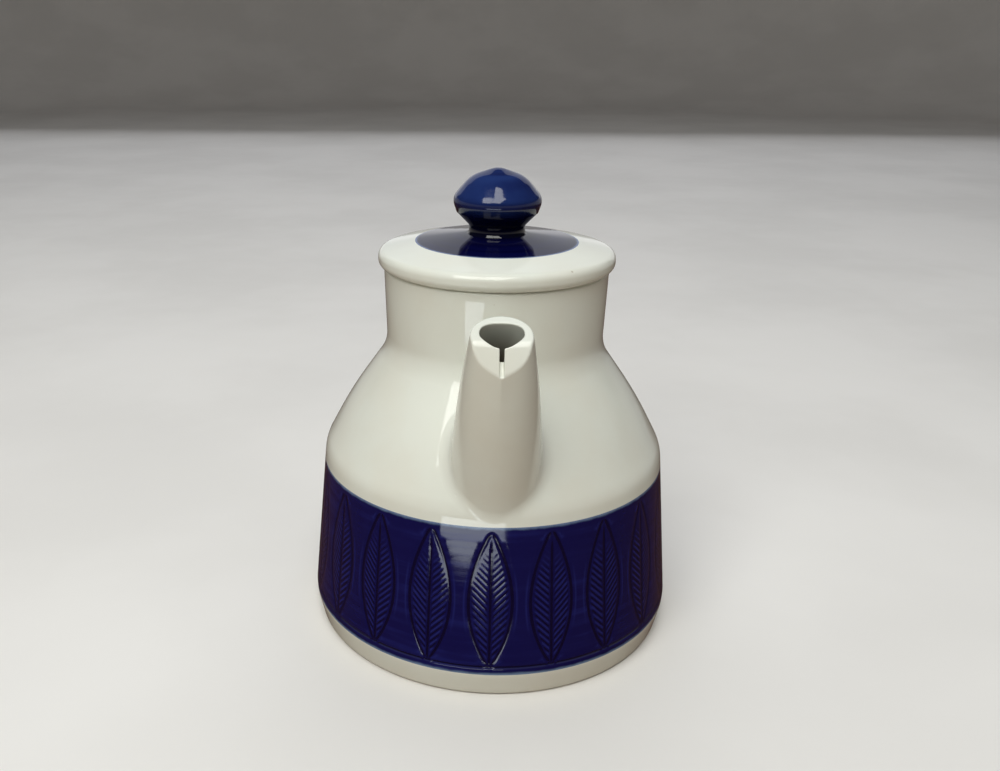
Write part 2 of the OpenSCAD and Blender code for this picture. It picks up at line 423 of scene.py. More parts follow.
class GlazeEffects:
    """The effects that the glazes share, each a node group that is built once."""

    def __init__(self) -> None:
        """Builds the groups."""
        self.skin = self._skin()
        self.feather = self._feather()
        self.turning = self._turning()
        self.thinning = self._thinning()

    @staticmethod
    def _skin() -> bpy.types.NodeTree:
        """Builds the relief of a fired glaze: slow ripples, fine peel and rare pinholes.

        Returns:
            The group.
        """
        usual = {"Ripple scale": 70.0, "Ripple height": 1e-5, "Peel height": 1e-6, "Pinhole depth": 2e-5}
        g, given, result = new_group("glaze skin", usual, ["Height", "Mottle", "Specks"])
        place = g.place()
        waves = g.noise(place, given.outputs["Ripple scale"], 1.0)
        ripple = g.calc("MULTIPLY", waves, given.outputs["Ripple height"])
        peel = g.calc("MULTIPLY", g.noise(place, 900.0, 1.0), given.outputs["Peel height"])
        cells = g.add("ShaderNodeTexVoronoi", {"Vector": place, "Scale": 150.0})
        pick = g.add("ShaderNodeSeparateColor", {0: cells.outputs["Color"]})
        rare = g.calc("LESS_THAN", pick.outputs[0], 0.05)
        pit = g.calc("MULTIPLY", g.ramp(cells.outputs["Distance"], 0.10, 0.02), rare)
        sunk = g.calc("MULTIPLY", pit, given.outputs["Pinhole depth"])
        height = g.calc("SUBTRACT", g.calc("ADD", ripple, peel), sunk)
        dot = g.ramp(cells.outputs["Distance"], 0.09, 0.03)
        speck = g.calc("MULTIPLY", dot, g.calc("GREATER_THAN", pick.outputs[1], 0.97))
        for key, value in (("Height", height), ("Mottle", g.noise(place, 38.0, 4.0)), ("Specks", speck)):
            g.tree.links.new(value, result.inputs[key])
        return g.tree

    @staticmethod
    def _feather() -> bpy.types.NodeTree:
        """Builds the soft, slightly wandering edge of a coat.

        Returns:
            The group: its output rises from 0 at the edge to 1 inside.
        """
        usual = {"Distance": 0.0, "Width": 0.001, "Wander": 0.0005}
        g, given, result = new_group("coat feather", usual, ["Cover"])
        drift = g.calc("SUBTRACT", g.noise(g.place(), 260.0, 3.0), 0.5)
        moved = g.calc("ADD", given.outputs["Distance"], g.calc("MULTIPLY", drift, given.outputs["Wander"]))
        g.tree.links.new(g.ramp(moved, 0.0, given.outputs["Width"]), result.inputs["Cover"])
        return g.tree

    @staticmethod
    def _turning() -> bpy.types.NodeTree:
        """Builds the fine rings that a turned, brushed coat keeps.

        Returns:
            The group: its output is about 0.5, darker and lighter in rings.
        """
        g, given, result = new_group("turning rings", {"Ring scale": 500.0}, ["Rings"])
        parts = g.add("ShaderNodeSeparateXYZ", {0: g.place()})
        x, y, z = parts.outputs
        radius = g.calc("SQRT", g.calc("ADD", g.calc("MULTIPLY", x, x), g.calc("MULTIPLY", y, y)))
        along = g.calc("MULTIPLY", g.calc("ADD", radius, z), given.outputs["Ring scale"])
        vector = g.add("ShaderNodeCombineXYZ",
                       {0: g.calc("MULTIPLY", x, 22.0), 1: g.calc("MULTIPLY", y, 22.0), 2: along})
        g.tree.links.new(g.noise(vector.outputs[0], 1.0, 3.0), result.inputs["Rings"])
        return g.tree

    @staticmethod
    def _thinning() -> bpy.types.NodeTree:
        """Builds the mask of the convex edges, where a glaze runs thin.

        Returns:
            The group: its output rises from 0 on flat places to 1 on edges.
        """
        g, given, result = new_group("edge thinning", {"Start": 0.51, "Full": 0.56}, ["Thin"])
        bend = g.add("ShaderNodeNewGeometry").outputs["Pointiness"]
        g.tree.links.new(g.ramp(bend, given.outputs["Start"], given.outputs["Full"]), result.inputs["Thin"])
        return g.tree


@dataclass(frozen=True)
class Finish:
    """What every finish has: a name, and a Principled shader that it finishes off."""

    name: str

    def start(self) -> tuple[bpy.types.Material, Graph, bpy.types.Node]:
        """Starts the material.

        Returns:
            The material, its graph and its Principled shader.
        """
        material = bpy.data.materials.new(self.name)
        material.use_nodes = True
        material.node_tree.nodes.clear()
        graph = Graph(material.node_tree)
        shader = graph.add("ShaderNodeBsdfPrincipled")
        graph.add("ShaderNodeOutputMaterial", {"Surface": shader.outputs[0]})
        return material, graph, shader

    @staticmethod
    def group(graph: Graph, tree: bpy.types.NodeTree, inputs: dict[str, Input]) -> bpy.types.Node:
        """Places a node group in the material.

        Args:
            graph: The material's graph.
            tree: The group.
            inputs: Value or source socket of each input.

        Returns:
            The group's node.
        """
        return graph.add("ShaderNodeGroup", inputs, node_tree=tree)

    @staticmethod
    def bump(graph: Graph, shader: bpy.types.Node, height: bpy.types.NodeSocket) -> None:
        """Feeds a height in metres to the shader.

        Args:
            graph: The material's graph.
            shader: The Principled shader.
            height: The height's socket.
        """
        node = graph.add("ShaderNodeBump", {"Height": height, "Distance": 1.0, "Strength": 1.0})
        graph.tree.links.new(node.outputs["Normal"], shader.inputs["Normal"])


@dataclass(frozen=True)
class WhiteGlaze(Finish):
    """Clear glossy glaze over a cool white body, turning brown and darker down the spout's bore: tea staining
    and painted shade.
    """

    effects: GlazeEffects
    colour: Colour = (0.795, 0.822, 0.752)
    warm: Colour = (0.775, 0.785, 0.705)
    speck: Colour = (0.42, 0.36, 0.28)
    stain_and_shade: Colour = (0.20, 0.155, 0.10)
    # Brown of the tea staining and painted shade deep in the spout's bore.
    gloss: tuple[float, float] = (0.045, 0.11)

    def material(self) -> bpy.types.Material:
        """Builds the material.

        Returns:
            The material.
        """
        material, g, shader = self.start()
        skin = self.group(g, self.effects.skin, {"Ripple scale": 62.0, "Ripple height": 2.2e-5,
                                                 "Peel height": 1.2e-6, "Pinhole depth": 4e-5})
        thin = self.group(g, self.effects.thinning, {"Start": 0.535, "Full": 0.60}).outputs["Thin"]
        tint = g.ramp(skin.outputs["Mottle"], 0.35, 0.70)
        colour = g.blend(tint, self.colour, self.warm)
        colour = g.blend(g.calc("MULTIPLY", thin, 0.5), colour, self.warm)
        colour = g.blend(g.calc("MULTIPLY", skin.outputs["Specks"], 0.7), colour, self.speck)
        # Tea staining and painted shade: the marked rows of the spout's bore turn brown and dark, patchily.
        stained_and_shaded = g.add("ShaderNodeAttribute", attribute_name="stain_and_shade").outputs["Fac"]
        patchy = g.ramp(skin.outputs["Mottle"], 0.25, 0.75, 1.0, 0.8)
        colour = g.blend(g.calc("MULTIPLY", stained_and_shaded, patchy), colour, self.stain_and_shade)
        g.tree.links.new(colour, shader.inputs["Base Color"])
        g.tree.links.new(g.ramp(skin.outputs["Mottle"], 0.3, 0.8, *self.gloss), shader.inputs["Roughness"])
        shader.inputs["IOR"].default_value = GLAZE_IOR
        self.bump(g, shader, skin.outputs["Height"])
        return material


@dataclass(frozen=True)
class BareClay(Finish):
    """Unglazed fired body, where the pot stood in the kiln and where the lid rests."""

    colour: Colour = (0.74, 0.71, 0.64)
    dark: Colour = (0.60, 0.56, 0.49)

    def material(self) -> bpy.types.Material:
        """Builds the material.

        Returns:
            The material.
        """
        material, g, shader = self.start()
        place = g.place()
        grain = g.noise(place, 1400.0, 4.0)
        g.tree.links.new(g.blend(g.ramp(g.noise(place, 90.0, 4.0), 0.4, 0.75), self.colour, self.dark),
                         shader.inputs["Base Color"])
        g.tree.links.new(g.ramp(grain, 0.2, 0.8, 0.62, 0.85), shader.inputs["Roughness"])
        self.bump(g, shader, g.calc("MULTIPLY", grain, 6e-5))
        return material


@dataclass(frozen=True)
class BlueReliefGlaze(Finish):
    """Cobalt glaze over the leaf relief: it pools in the grooves, runs thin and lighter on the vein crests
    and feathers at the band's edges, with a painted highlight beside each leaf's outline.
    """

    effects: GlazeEffects
    low: float
    high: float
    thick: Colour = (0.0022, 0.0018, 0.026)
    usual: Colour = (0.0045, 0.0050, 0.066)
    worn: Colour = (0.0085, 0.0115, 0.110)
    # Lighter blue of thin glaze on the vein crests and of the painted highlight beside each leaf's outline.
    crest_and_highlight: Colour = (0.0135, 0.0185, 0.140)
    pale: Colour = (0.16, 0.24, 0.40)
    gloss: tuple[float, float] = (0.05, 0.12)

    def material(self) -> bpy.types.Material:
        """Builds the material.

        Returns:
            The material.
        """
        material, g, shader = self.start()
        skin = self.group(g, self.effects.skin, {"Ripple scale": 110.0, "Ripple height": 1.6e-5,
                                                 "Peel height": 2.5e-6, "Pinhole depth": 2e-5})
        rings = self.group(g, self.effects.turning, {"Ring scale": 520.0}).outputs["Rings"]
        thin = self.group(g, self.effects.thinning, {"Start": 0.53, "Full": 0.58}).outputs["Thin"]
        lie_and_highlight = g.add("ShaderNodeAttribute", attribute_name="relief").outputs["Fac"]
        height = g.add("ShaderNodeSeparateXYZ", {0: g.place()}).outputs["Z"]
        above, below = g.calc("SUBTRACT", height, self.low * MM), g.calc("SUBTRACT", self.high * MM, height)
        edge = g.calc("MINIMUM", above, below)
        feathered = self.group(g, self.effects.feather, {"Distance": edge, "Width": 0.0013, "Wander": 0.0009})
        colour = g.blend(g.ramp(rings, 0.40, 0.72), self.usual, self.worn)
        colour = g.blend(g.ramp(skin.outputs["Mottle"], 0.40, 0.62, 0.0, 0.8), colour, self.usual)
        colour = g.blend(g.calc("MULTIPLY", thin, 0.5), colour, self.worn)
        # Thin glaze on the vein crests and the painted highlight beside each leaf's outline turn lighter.
        colour = g.blend(g.ramp(lie_and_highlight, -0.05, -0.9), colour, self.crest_and_highlight)
        colour = g.blend(g.ramp(lie_and_highlight, 0.05, 0.8), colour, self.thick)
        colour = g.blend(feathered.outputs["Cover"], self.pale, colour)
        g.tree.links.new(colour, shader.inputs["Base Color"])
        g.tree.links.new(g.ramp(rings, 0.3, 0.7, *self.gloss), shader.inputs["Roughness"])
        shader.inputs["IOR"].default_value = GLAZE_IOR
        grooved = g.calc("ADD", skin.outputs["Height"], g.calc("MULTIPLY", rings, 6e-6))
        self.bump(g, shader, grooved)
        return material


@dataclass(frozen=True)
class BlueGlaze(Finish):
    """Cobalt glaze on a turned piece, with rings from the brush, on the disc a feathered rim, and where a
    span is given painted shade towards the bottom.
    """

    effects: GlazeEffects
    usual: Colour = (0.0030, 0.0040, 0.040)
    worn: Colour = (0.0075, 0.0150, 0.085)
    # Dark blue of the painted shade on the lower part of the knob.
    painted_shade: Colour = (0.0008, 0.0010, 0.013)
    pale: Colour = (0.16, 0.22, 0.38)
    rim_radius: float | None = None
    # Heights of the painted shade: full at the low one and below it, none above the high one.
    painted_shade_span: tuple[float, float] | None = None
    gloss: tuple[float, float] = (0.04, 0.09)

    def material(self) -> bpy.types.Material:
        """Builds the material.

        Returns:
            The material.
        """
        material, g, shader = self.start()
        skin = self.group(g, self.effects.skin, {"Ripple scale": 90.0, "Ripple height": 1.6e-5,
                                                 "Peel height": 1.5e-6, "Pinhole depth": 2e-5})
        rings = self.group(g, self.effects.turning, {"Ring scale": 420.0}).outputs["Rings"]
        thin = self.group(g, self.effects.thinning, {"Start": 0.53, "Full": 0.59}).outputs["Thin"]
        x, y, z = g.add("ShaderNodeSeparateXYZ", {0: g.place()}).outputs
        colour = g.blend(g.ramp(rings, 0.36, 0.70), self.usual, self.worn)
        colour = g.blend(g.ramp(skin.outputs["Mottle"], 0.42, 0.68, 0.0, 0.6), colour, self.usual)
        colour = g.blend(g.calc("MULTIPLY", thin, 0.6), colour, self.worn)
        # Painted shade: darker towards the bottom of the piece.
        if self.painted_shade_span is not None:
            low, high = self.painted_shade_span
            colour = g.blend(g.ramp(z, high * MM, low * MM), colour, self.painted_shade)
        if self.rim_radius is not None:
            radius = g.calc("SQRT", g.calc("ADD", g.calc("MULTIPLY", x, x), g.calc("MULTIPLY", y, y)))
            edge = g.calc("SUBTRACT", self.rim_radius * MM, radius)
            cover = self.group(g, self.effects.feather, {"Distance": edge, "Width": 0.0012, "Wander": 0.0007})
            colour = g.blend(cover.outputs["Cover"], self.pale, colour)
        g.tree.links.new(colour, shader.inputs["Base Color"])
        g.tree.links.new(g.ramp(rings, 0.3, 0.7, *self.gloss), shader.inputs["Roughness"])
        shader.inputs["IOR"].default_value = GLAZE_IOR
        self.bump(g, shader, g.calc("ADD", skin.outputs["Height"], g.calc("MULTIPLY", rings, 4e-6)))
        return material


@dataclass(frozen=True)
class FloorPaint(Finish):
    """Plain pale matt paint of the floor. Light that bounces off it is dimmer, as off a small table."""

    colour: Colour = (0.86, 0.845, 0.82)
    shade: Colour = (0.80, 0.785, 0.76)
    bounce: Colour = (0.57, 0.49, 0.42)

    def material(self) -> bpy.types.Material:
        """Builds the material.

        Returns:
            The material.
        """
        material, g, shader = self.start()
        place = g.place()
        paint = g.blend(g.ramp(g.noise(place, 5.0, 4.0), 0.35, 0.65), self.colour, self.shade)
        seen = g.add("ShaderNodeLightPath").outputs["Is Camera Ray"]
        g.tree.links.new(g.blend(seen, self.bounce, paint), shader.inputs["Base Color"])
        g.tree.links.new(g.ramp(g.noise(place, 40.0, 3.0), 0.3, 0.7, 0.55, 0.68), shader.inputs["Roughness"])
        self.bump(g, shader, g.calc("MULTIPLY", g.noise(place, 500.0, 3.0), 4e-5))
        return material


def dress(piece: bpy.types.Object, body: Body, slot: Slot, node: str, *materials: bpy.types.Material) -> None:
    """Gives a piece its materials and its place in the frame.

    Args:
        piece: The piece.
        body: The body that it rides on.
        slot: The record's slot of the piece. Not used.
        node: The CAD node that it stands for.
        materials: Its materials, by their number on the faces.
    """
    for material in materials:
        piece.data.materials.append(material)
    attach(piece, body.value)
    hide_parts(node)
    LOG.info("%s: %d faces, rides on %s, for %s", piece.name, len(piece.data.polygons), body.value, node)


# ---- the pot ----


class Wall:
    """The pot's outer wall, as a radius for each height."""

    def __init__(self, profile: np.ndarray) -> None:
        """Keeps the profile.

        Args:
            profile: [radius, height] rows with rising height.
        """
        self.heights = profile[:, 1]
        self.radii = profile[:, 0]
        self.slopes = np.gradient(self.radii, self.heights)

    def radius(self, z: np.ndarray | float) -> np.ndarray:
        """Radius at a height."""
        return np.interp(z, self.heights, self.radii)

    def gap(self, points: np.ndarray) -> np.ndarray:
        """Distance of points outside the wall, negative inside it.

        Args:
            points: Points, with xyz along the last axis.

        Returns:
            One distance for each point.
        """
        slope = np.interp(points[..., 2], self.heights, self.slopes)
        outside = np.hypot(points[..., 0], points[..., 1]) - self.radius(points[..., 2])
        return outside / np.sqrt(1 + slope ** 2)

    def normal(self, points: np.ndarray) -> np.ndarray:
        """Outward direction of the wall next to points.

        Args:
            points: Points, with xyz along the last axis.

        Returns:
            One unit vector for each point.
        """
        slope = np.interp(points[..., 2], self.heights, self.slopes)
        around = np.hypot(points[..., 0], points[..., 1])
        out = np.stack([points[..., 0] / around, points[..., 1] / around, -slope], axis=-1)
        return out / np.linalg.norm(out, axis=-1, keepdims=True)

    def settle(self, points: np.ndarray, sink: float = 0.0) -> np.ndarray:
        """Moves points square to the wall onto it.

        Args:
            points: Points near the wall.
            sink: How far under the wall's face they end.

        Returns:
            The moved points.
        """
        for _ in range(4):
            points = points - self.normal(points) * (self.gap(points) + sink)[..., None]
        return points


@dataclass(frozen=True)
class LutedJoint:
    """The smoothed-over joint of a spout or handle that was stuck on the wall with slip."""

    wall: Wall
    widths: np.ndarray
    fullness: float = 0.6
    steps: int = 11
    lap: float = 0.5
    sink: float = 0.03

    def close(self, columns: np.ndarray, rows: int) -> np.ndarray:
        """Ends columns of points in a fillet that runs out on the wall.

        Args:
            columns: [column, row, xyz] points, from outside the wall to inside it. The columns go once round.
            rows: Number of even rows before the fillet.

        Returns:
            The columns, with even rows, the fillet and a last point just under the wall's face.
        """
        crossings, runs = [], []
        for line in columns:
            gaps = self.wall.gap(line)
            first = int(np.argmax(gaps < 0))
            share = gaps[first - 1] / (gaps[first - 1] - gaps[first])
            steps = np.linalg.norm(np.diff(line, axis=0), axis=1)
            crossings.append(line[first - 1] + (line[first] - line[first - 1]) * share)
            runs.append(steps[:first - 1].sum() + steps[first - 1] * share)
        ring = np.array(crossings)
        along = np.roll(ring, -1, axis=0) - np.roll(ring, 1, axis=0)
        away = np.cross(along, self.wall.normal(ring))
        away /= np.linalg.norm(away, axis=1, keepdims=True)
        away *= np.sign(np.sum(away * (ring - ring.mean(axis=0))))
        out = []
        for line, cross, run, side, width in zip(columns, ring, runs, away, self.widths):
            body = resample(line, np.linspace(0, run - width, rows))
            start, near = resample(line, np.array([run - width, run - width + 0.05]))
            toward = (near - start) / np.linalg.norm(near - start)
            foot = self.wall.settle(cross + side * width)
            back = cross - foot
            normal = self.wall.normal(foot)
            back -= normal * (back @ normal)
            back /= np.linalg.norm(back)
            reach = self.fullness * width
            shares = np.arange(1, self.steps + 1) / self.steps
            fillet = bezier(start, start + toward * reach, foot + back * reach, foot, shares)
            under = self.wall.settle(cross + side * (width + self.lap), self.sink)
            out.append(np.vstack([body, fillet, under]))
        return np.array(out)


@dataclass
class PotSizes:
    """Sizes of the turned pot that the frame's boxes don't give, in millimetres."""

    foot_r: float = 66.0
    body_r: float = 68.1
    shoulder_r: float = 62.4
    shoulder_z: float = 67.6
    flank_r: float = 53.3
    flank_z: float = 84.7
    neck_r: float = 38.9
    neck_z: float = 105.0
    mouth_r: float = 39.8
    wall_t: float = 4.0
    floor_t: float = 4.5
    ring_w: float = 5.0
    hollow: float = 2.5
    coat: float = 0.6
    foot_edge: float = 1.6
    band_edge: float = 12.0
    shoulder_edge: float = 15.0
    flank_edge: float = 150.0
    neck_edge: float = 15.0
    rim_edge: float = 1.2
    seat_edge: float = 0.9
    floor_edge: float = 10.0


@dataclass
class PotBody:
    """The turned pot: its wall, its foot ring and the strainer holes behind the spout."""

    sizes: PotSizes
    rim_z: float = field(init=False)
    band: NodeBox = field(init=False)
    hole_r: float = 2.2
    hole_ring_r: float = 6.6
    hole_ring_count: int = 6
    root_z: float = 84.0

    def __post_init__(self) -> None:
        """Reads the rim and the band from the frame."""
        self.rim_z = NodeBox.of("pot_body").high.z
        self.band = NodeBox.of("blue_band")

    def outer_corners(self) -> list[Corner]:
        """Corners of the outer wall, from the foot to the rim.

        Returns:
            The corners, with rising height.
        """
        s = self.sizes
        return [Corner(s.foot_r, 0, s.foot_edge),
                Corner(s.body_r, self.band.low.z, s.band_edge),
                Corner(s.shoulder_r, s.shoulder_z, s.shoulder_edge),
                Corner(s.flank_r, s.flank_z, s.flank_edge),
                Corner(s.neck_r, s.neck_z, s.neck_edge),
                Corner(s.mouth_r, self.rim_z, s.rim_edge)]

    def wall(self) -> Wall:
        """The outer wall between the foot's edge and the rim's edge.

        Returns:
            The wall.
        """
        profile = rounded([Corner(0, 0), *self.outer_corners(), Corner(0, self.rim_z)], side_step=0.5)
        rising = [profile[0]]
        for point in profile:
            if point[0] > self.sizes.neck_r - 2 and point[1] > rising[-1][1] + 1e-4:
                rising.append(point)
        return Wall(np.array(rising[1:]))

    def corner_radius(self, z: float) -> float:
        """Radius of the wall at a height, before its corners are rounded.

        Args:
            z: The height.

        Returns:
            The radius.
        """
        corners = self.outer_corners()
        return float(np.interp(z, [c.z for c in corners], [c.r for c in corners]))

    def outline(self) -> np.ndarray:
        """The whole section, from under the floor round the wall to the floor inside.

        Returns:
            [radius, height] rows.
        """
        s = self.sizes
        hollow_r = s.foot_r - s.foot_edge - s.ring_w
        floor_z = s.hollow + s.floor_t
        bore_r = s.mouth_r - s.wall_t
        outside = rounded([Corner(0, s.hollow),
                           Corner(hollow_r - s.hollow, s.hollow, 1.0),
                           Corner(hollow_r, 0, 0.6),
                           *self.outer_corners(),
                           Corner(bore_r, self.rim_z, s.seat_edge),
                           Corner(s.neck_r - s.wall_t, s.neck_z, s.neck_edge),
                           Corner(s.flank_r - s.wall_t, s.flank_z, s.flank_edge),
                           Corner(s.shoulder_r - s.wall_t, s.shoulder_z, s.shoulder_edge),
                           Corner(s.body_r - s.wall_t, floor_z, s.floor_edge),
                           Corner(0, floor_z)])
        return self._recessed(outside)

    def _recessed(self, outline: np.ndarray) -> np.ndarray:
        """Sinks the wall behind the band by the thickness of the coat.

        Args:
            outline: The section without the recess.

        Returns:
            The section with it.
        """
        wall = self.wall()
        low, high = self.band.low.z, self.band.high.z
        out: list[np.ndarray] = []
        behind = False
        for point in outline:
            on_wall = point[0] > wall.radius(point[1]) - 1e-3 and low < point[1] < high
            if on_wall and not behind:
                out += [np.array([wall.radius(low), low]),
                        np.array([wall.radius(low) - self.sizes.coat, low])]
            if behind and not on_wall:
                out += [np.array([wall.radius(high) - self.sizes.coat, high]),
                        np.array([wall.radius(high), high])]
            behind = bool(on_wall)
            out.append(point - [self.sizes.coat, 0] if on_wall else point)
        return np.array(out)

    def _strainer_pins(self) -> bpy.types.Object:
        """Pins that pierce the flank square to it behind the spout.

        Returns:
            One object that holds every pin.
        """
        s = self.sizes
        segments = 32
        tilt = math.atan((s.shoulder_r - s.neck_r) / (s.neck_z - s.shoulder_z))
        out = np.array([0, -math.cos(tilt), math.sin(tilt)])
        up = np.array([0, math.sin(tilt), math.cos(tilt)])
        across = np.array([1, 0, 0])
        root = np.array([0, -self.corner_radius(self.root_z), self.root_z])
        around = np.arange(self.hole_ring_count) * TURN / self.hole_ring_count
        ring = [(self.hole_ring_r * math.cos(a), self.hole_ring_r * math.sin(a)) for a in around]
        centres = [(0.0, 0.0), *ring]
        points, faces = [], []
        for cx, cy in centres:
            first = len(points)
            for depth in (-3 * s.wall_t, 3 * s.wall_t):
                for a in np.arange(segments) * TURN / segments:
                    points.append(root + out * depth + across * (cx + self.hole_r * math.cos(a))
                                  + up * (cy + self.hole_r * math.sin(a)))
            faces += [[first + i for i in face] for face in grid_faces(2, segments)]
            faces.append([first + i for i in reversed(range(segments))])
            faces.append([first + segments + i for i in range(segments)])
        return make_object("strainer_pins", np.array(points), faces)

    def build(self, glaze: bpy.types.Material, clay: bpy.types.Material) -> bpy.types.Object:
        """Builds and dresses the pot.

        Args:
            glaze: The white glaze.
            clay: The unglazed clay of the foot ring and the lid's seat.

        Returns:
            The pot.
        """
        pot = turned("teapot_body", self.outline())
        pins = self._strainer_pins()
        cut = pot.modifiers.new("strainer", "BOOLEAN")
        cut.object = pins
        cut.operation = "DIFFERENCE"
        cut.solver = "MANIFOLD"
        bake_modifiers(pot)
        bpy.data.objects.remove(pins)
        dress(pot, Body.POT, Slot.WHITE, "pot_body", glaze, clay)
        ring = (self.sizes.foot_r - self.sizes.foot_edge - self.sizes.ring_w, self.sizes.foot_r)
        seat = (self.sizes.mouth_r - self.sizes.wall_t + 0.5, self.sizes.mouth_r - 0.5)
        paint_flats(pot, 1, [(0.0, ring), (self.rim_z, seat)])
        return pot


def bake_modifiers(piece: bpy.types.Object) -> None:
    """Replaces a piece's mesh by what its modifiers make of it, ready to be dressed with new materials.

    Args:
        piece: The piece.
    """
    evaluated = piece.evaluated_get(bpy.context.evaluated_depsgraph_get())
    mesh = bpy.data.meshes.new_from_object(evaluated)
    piece.modifiers.clear()
    piece.data = mesh
    mesh.materials.clear()
    mesh.polygons.foreach_set("material_index", np.zeros(len(mesh.polygons), dtype=np.int32))
    mesh.shade_smooth()
    mesh.set_sharp_from_angle(angle=CRISP_ANGLE)


def paint_flats(piece: bpy.types.Object, number: int,
                rings: Sequence[tuple[float, tuple[float, float]]]) -> None:
    """Gives flat rings of a turned piece another material.

    Args:
        piece: The piece.
        number: Number of the material.
        rings: Height, and inner and outer radius, of each ring.
    """
    for face in piece.data.polygons:
        x, y, z = face.center / MM
        for height, (inner, outer) in rings:
            if abs(z - height) < FLAT_REACH and inner < math.hypot(x, y) < outer:
                face.material_index = number


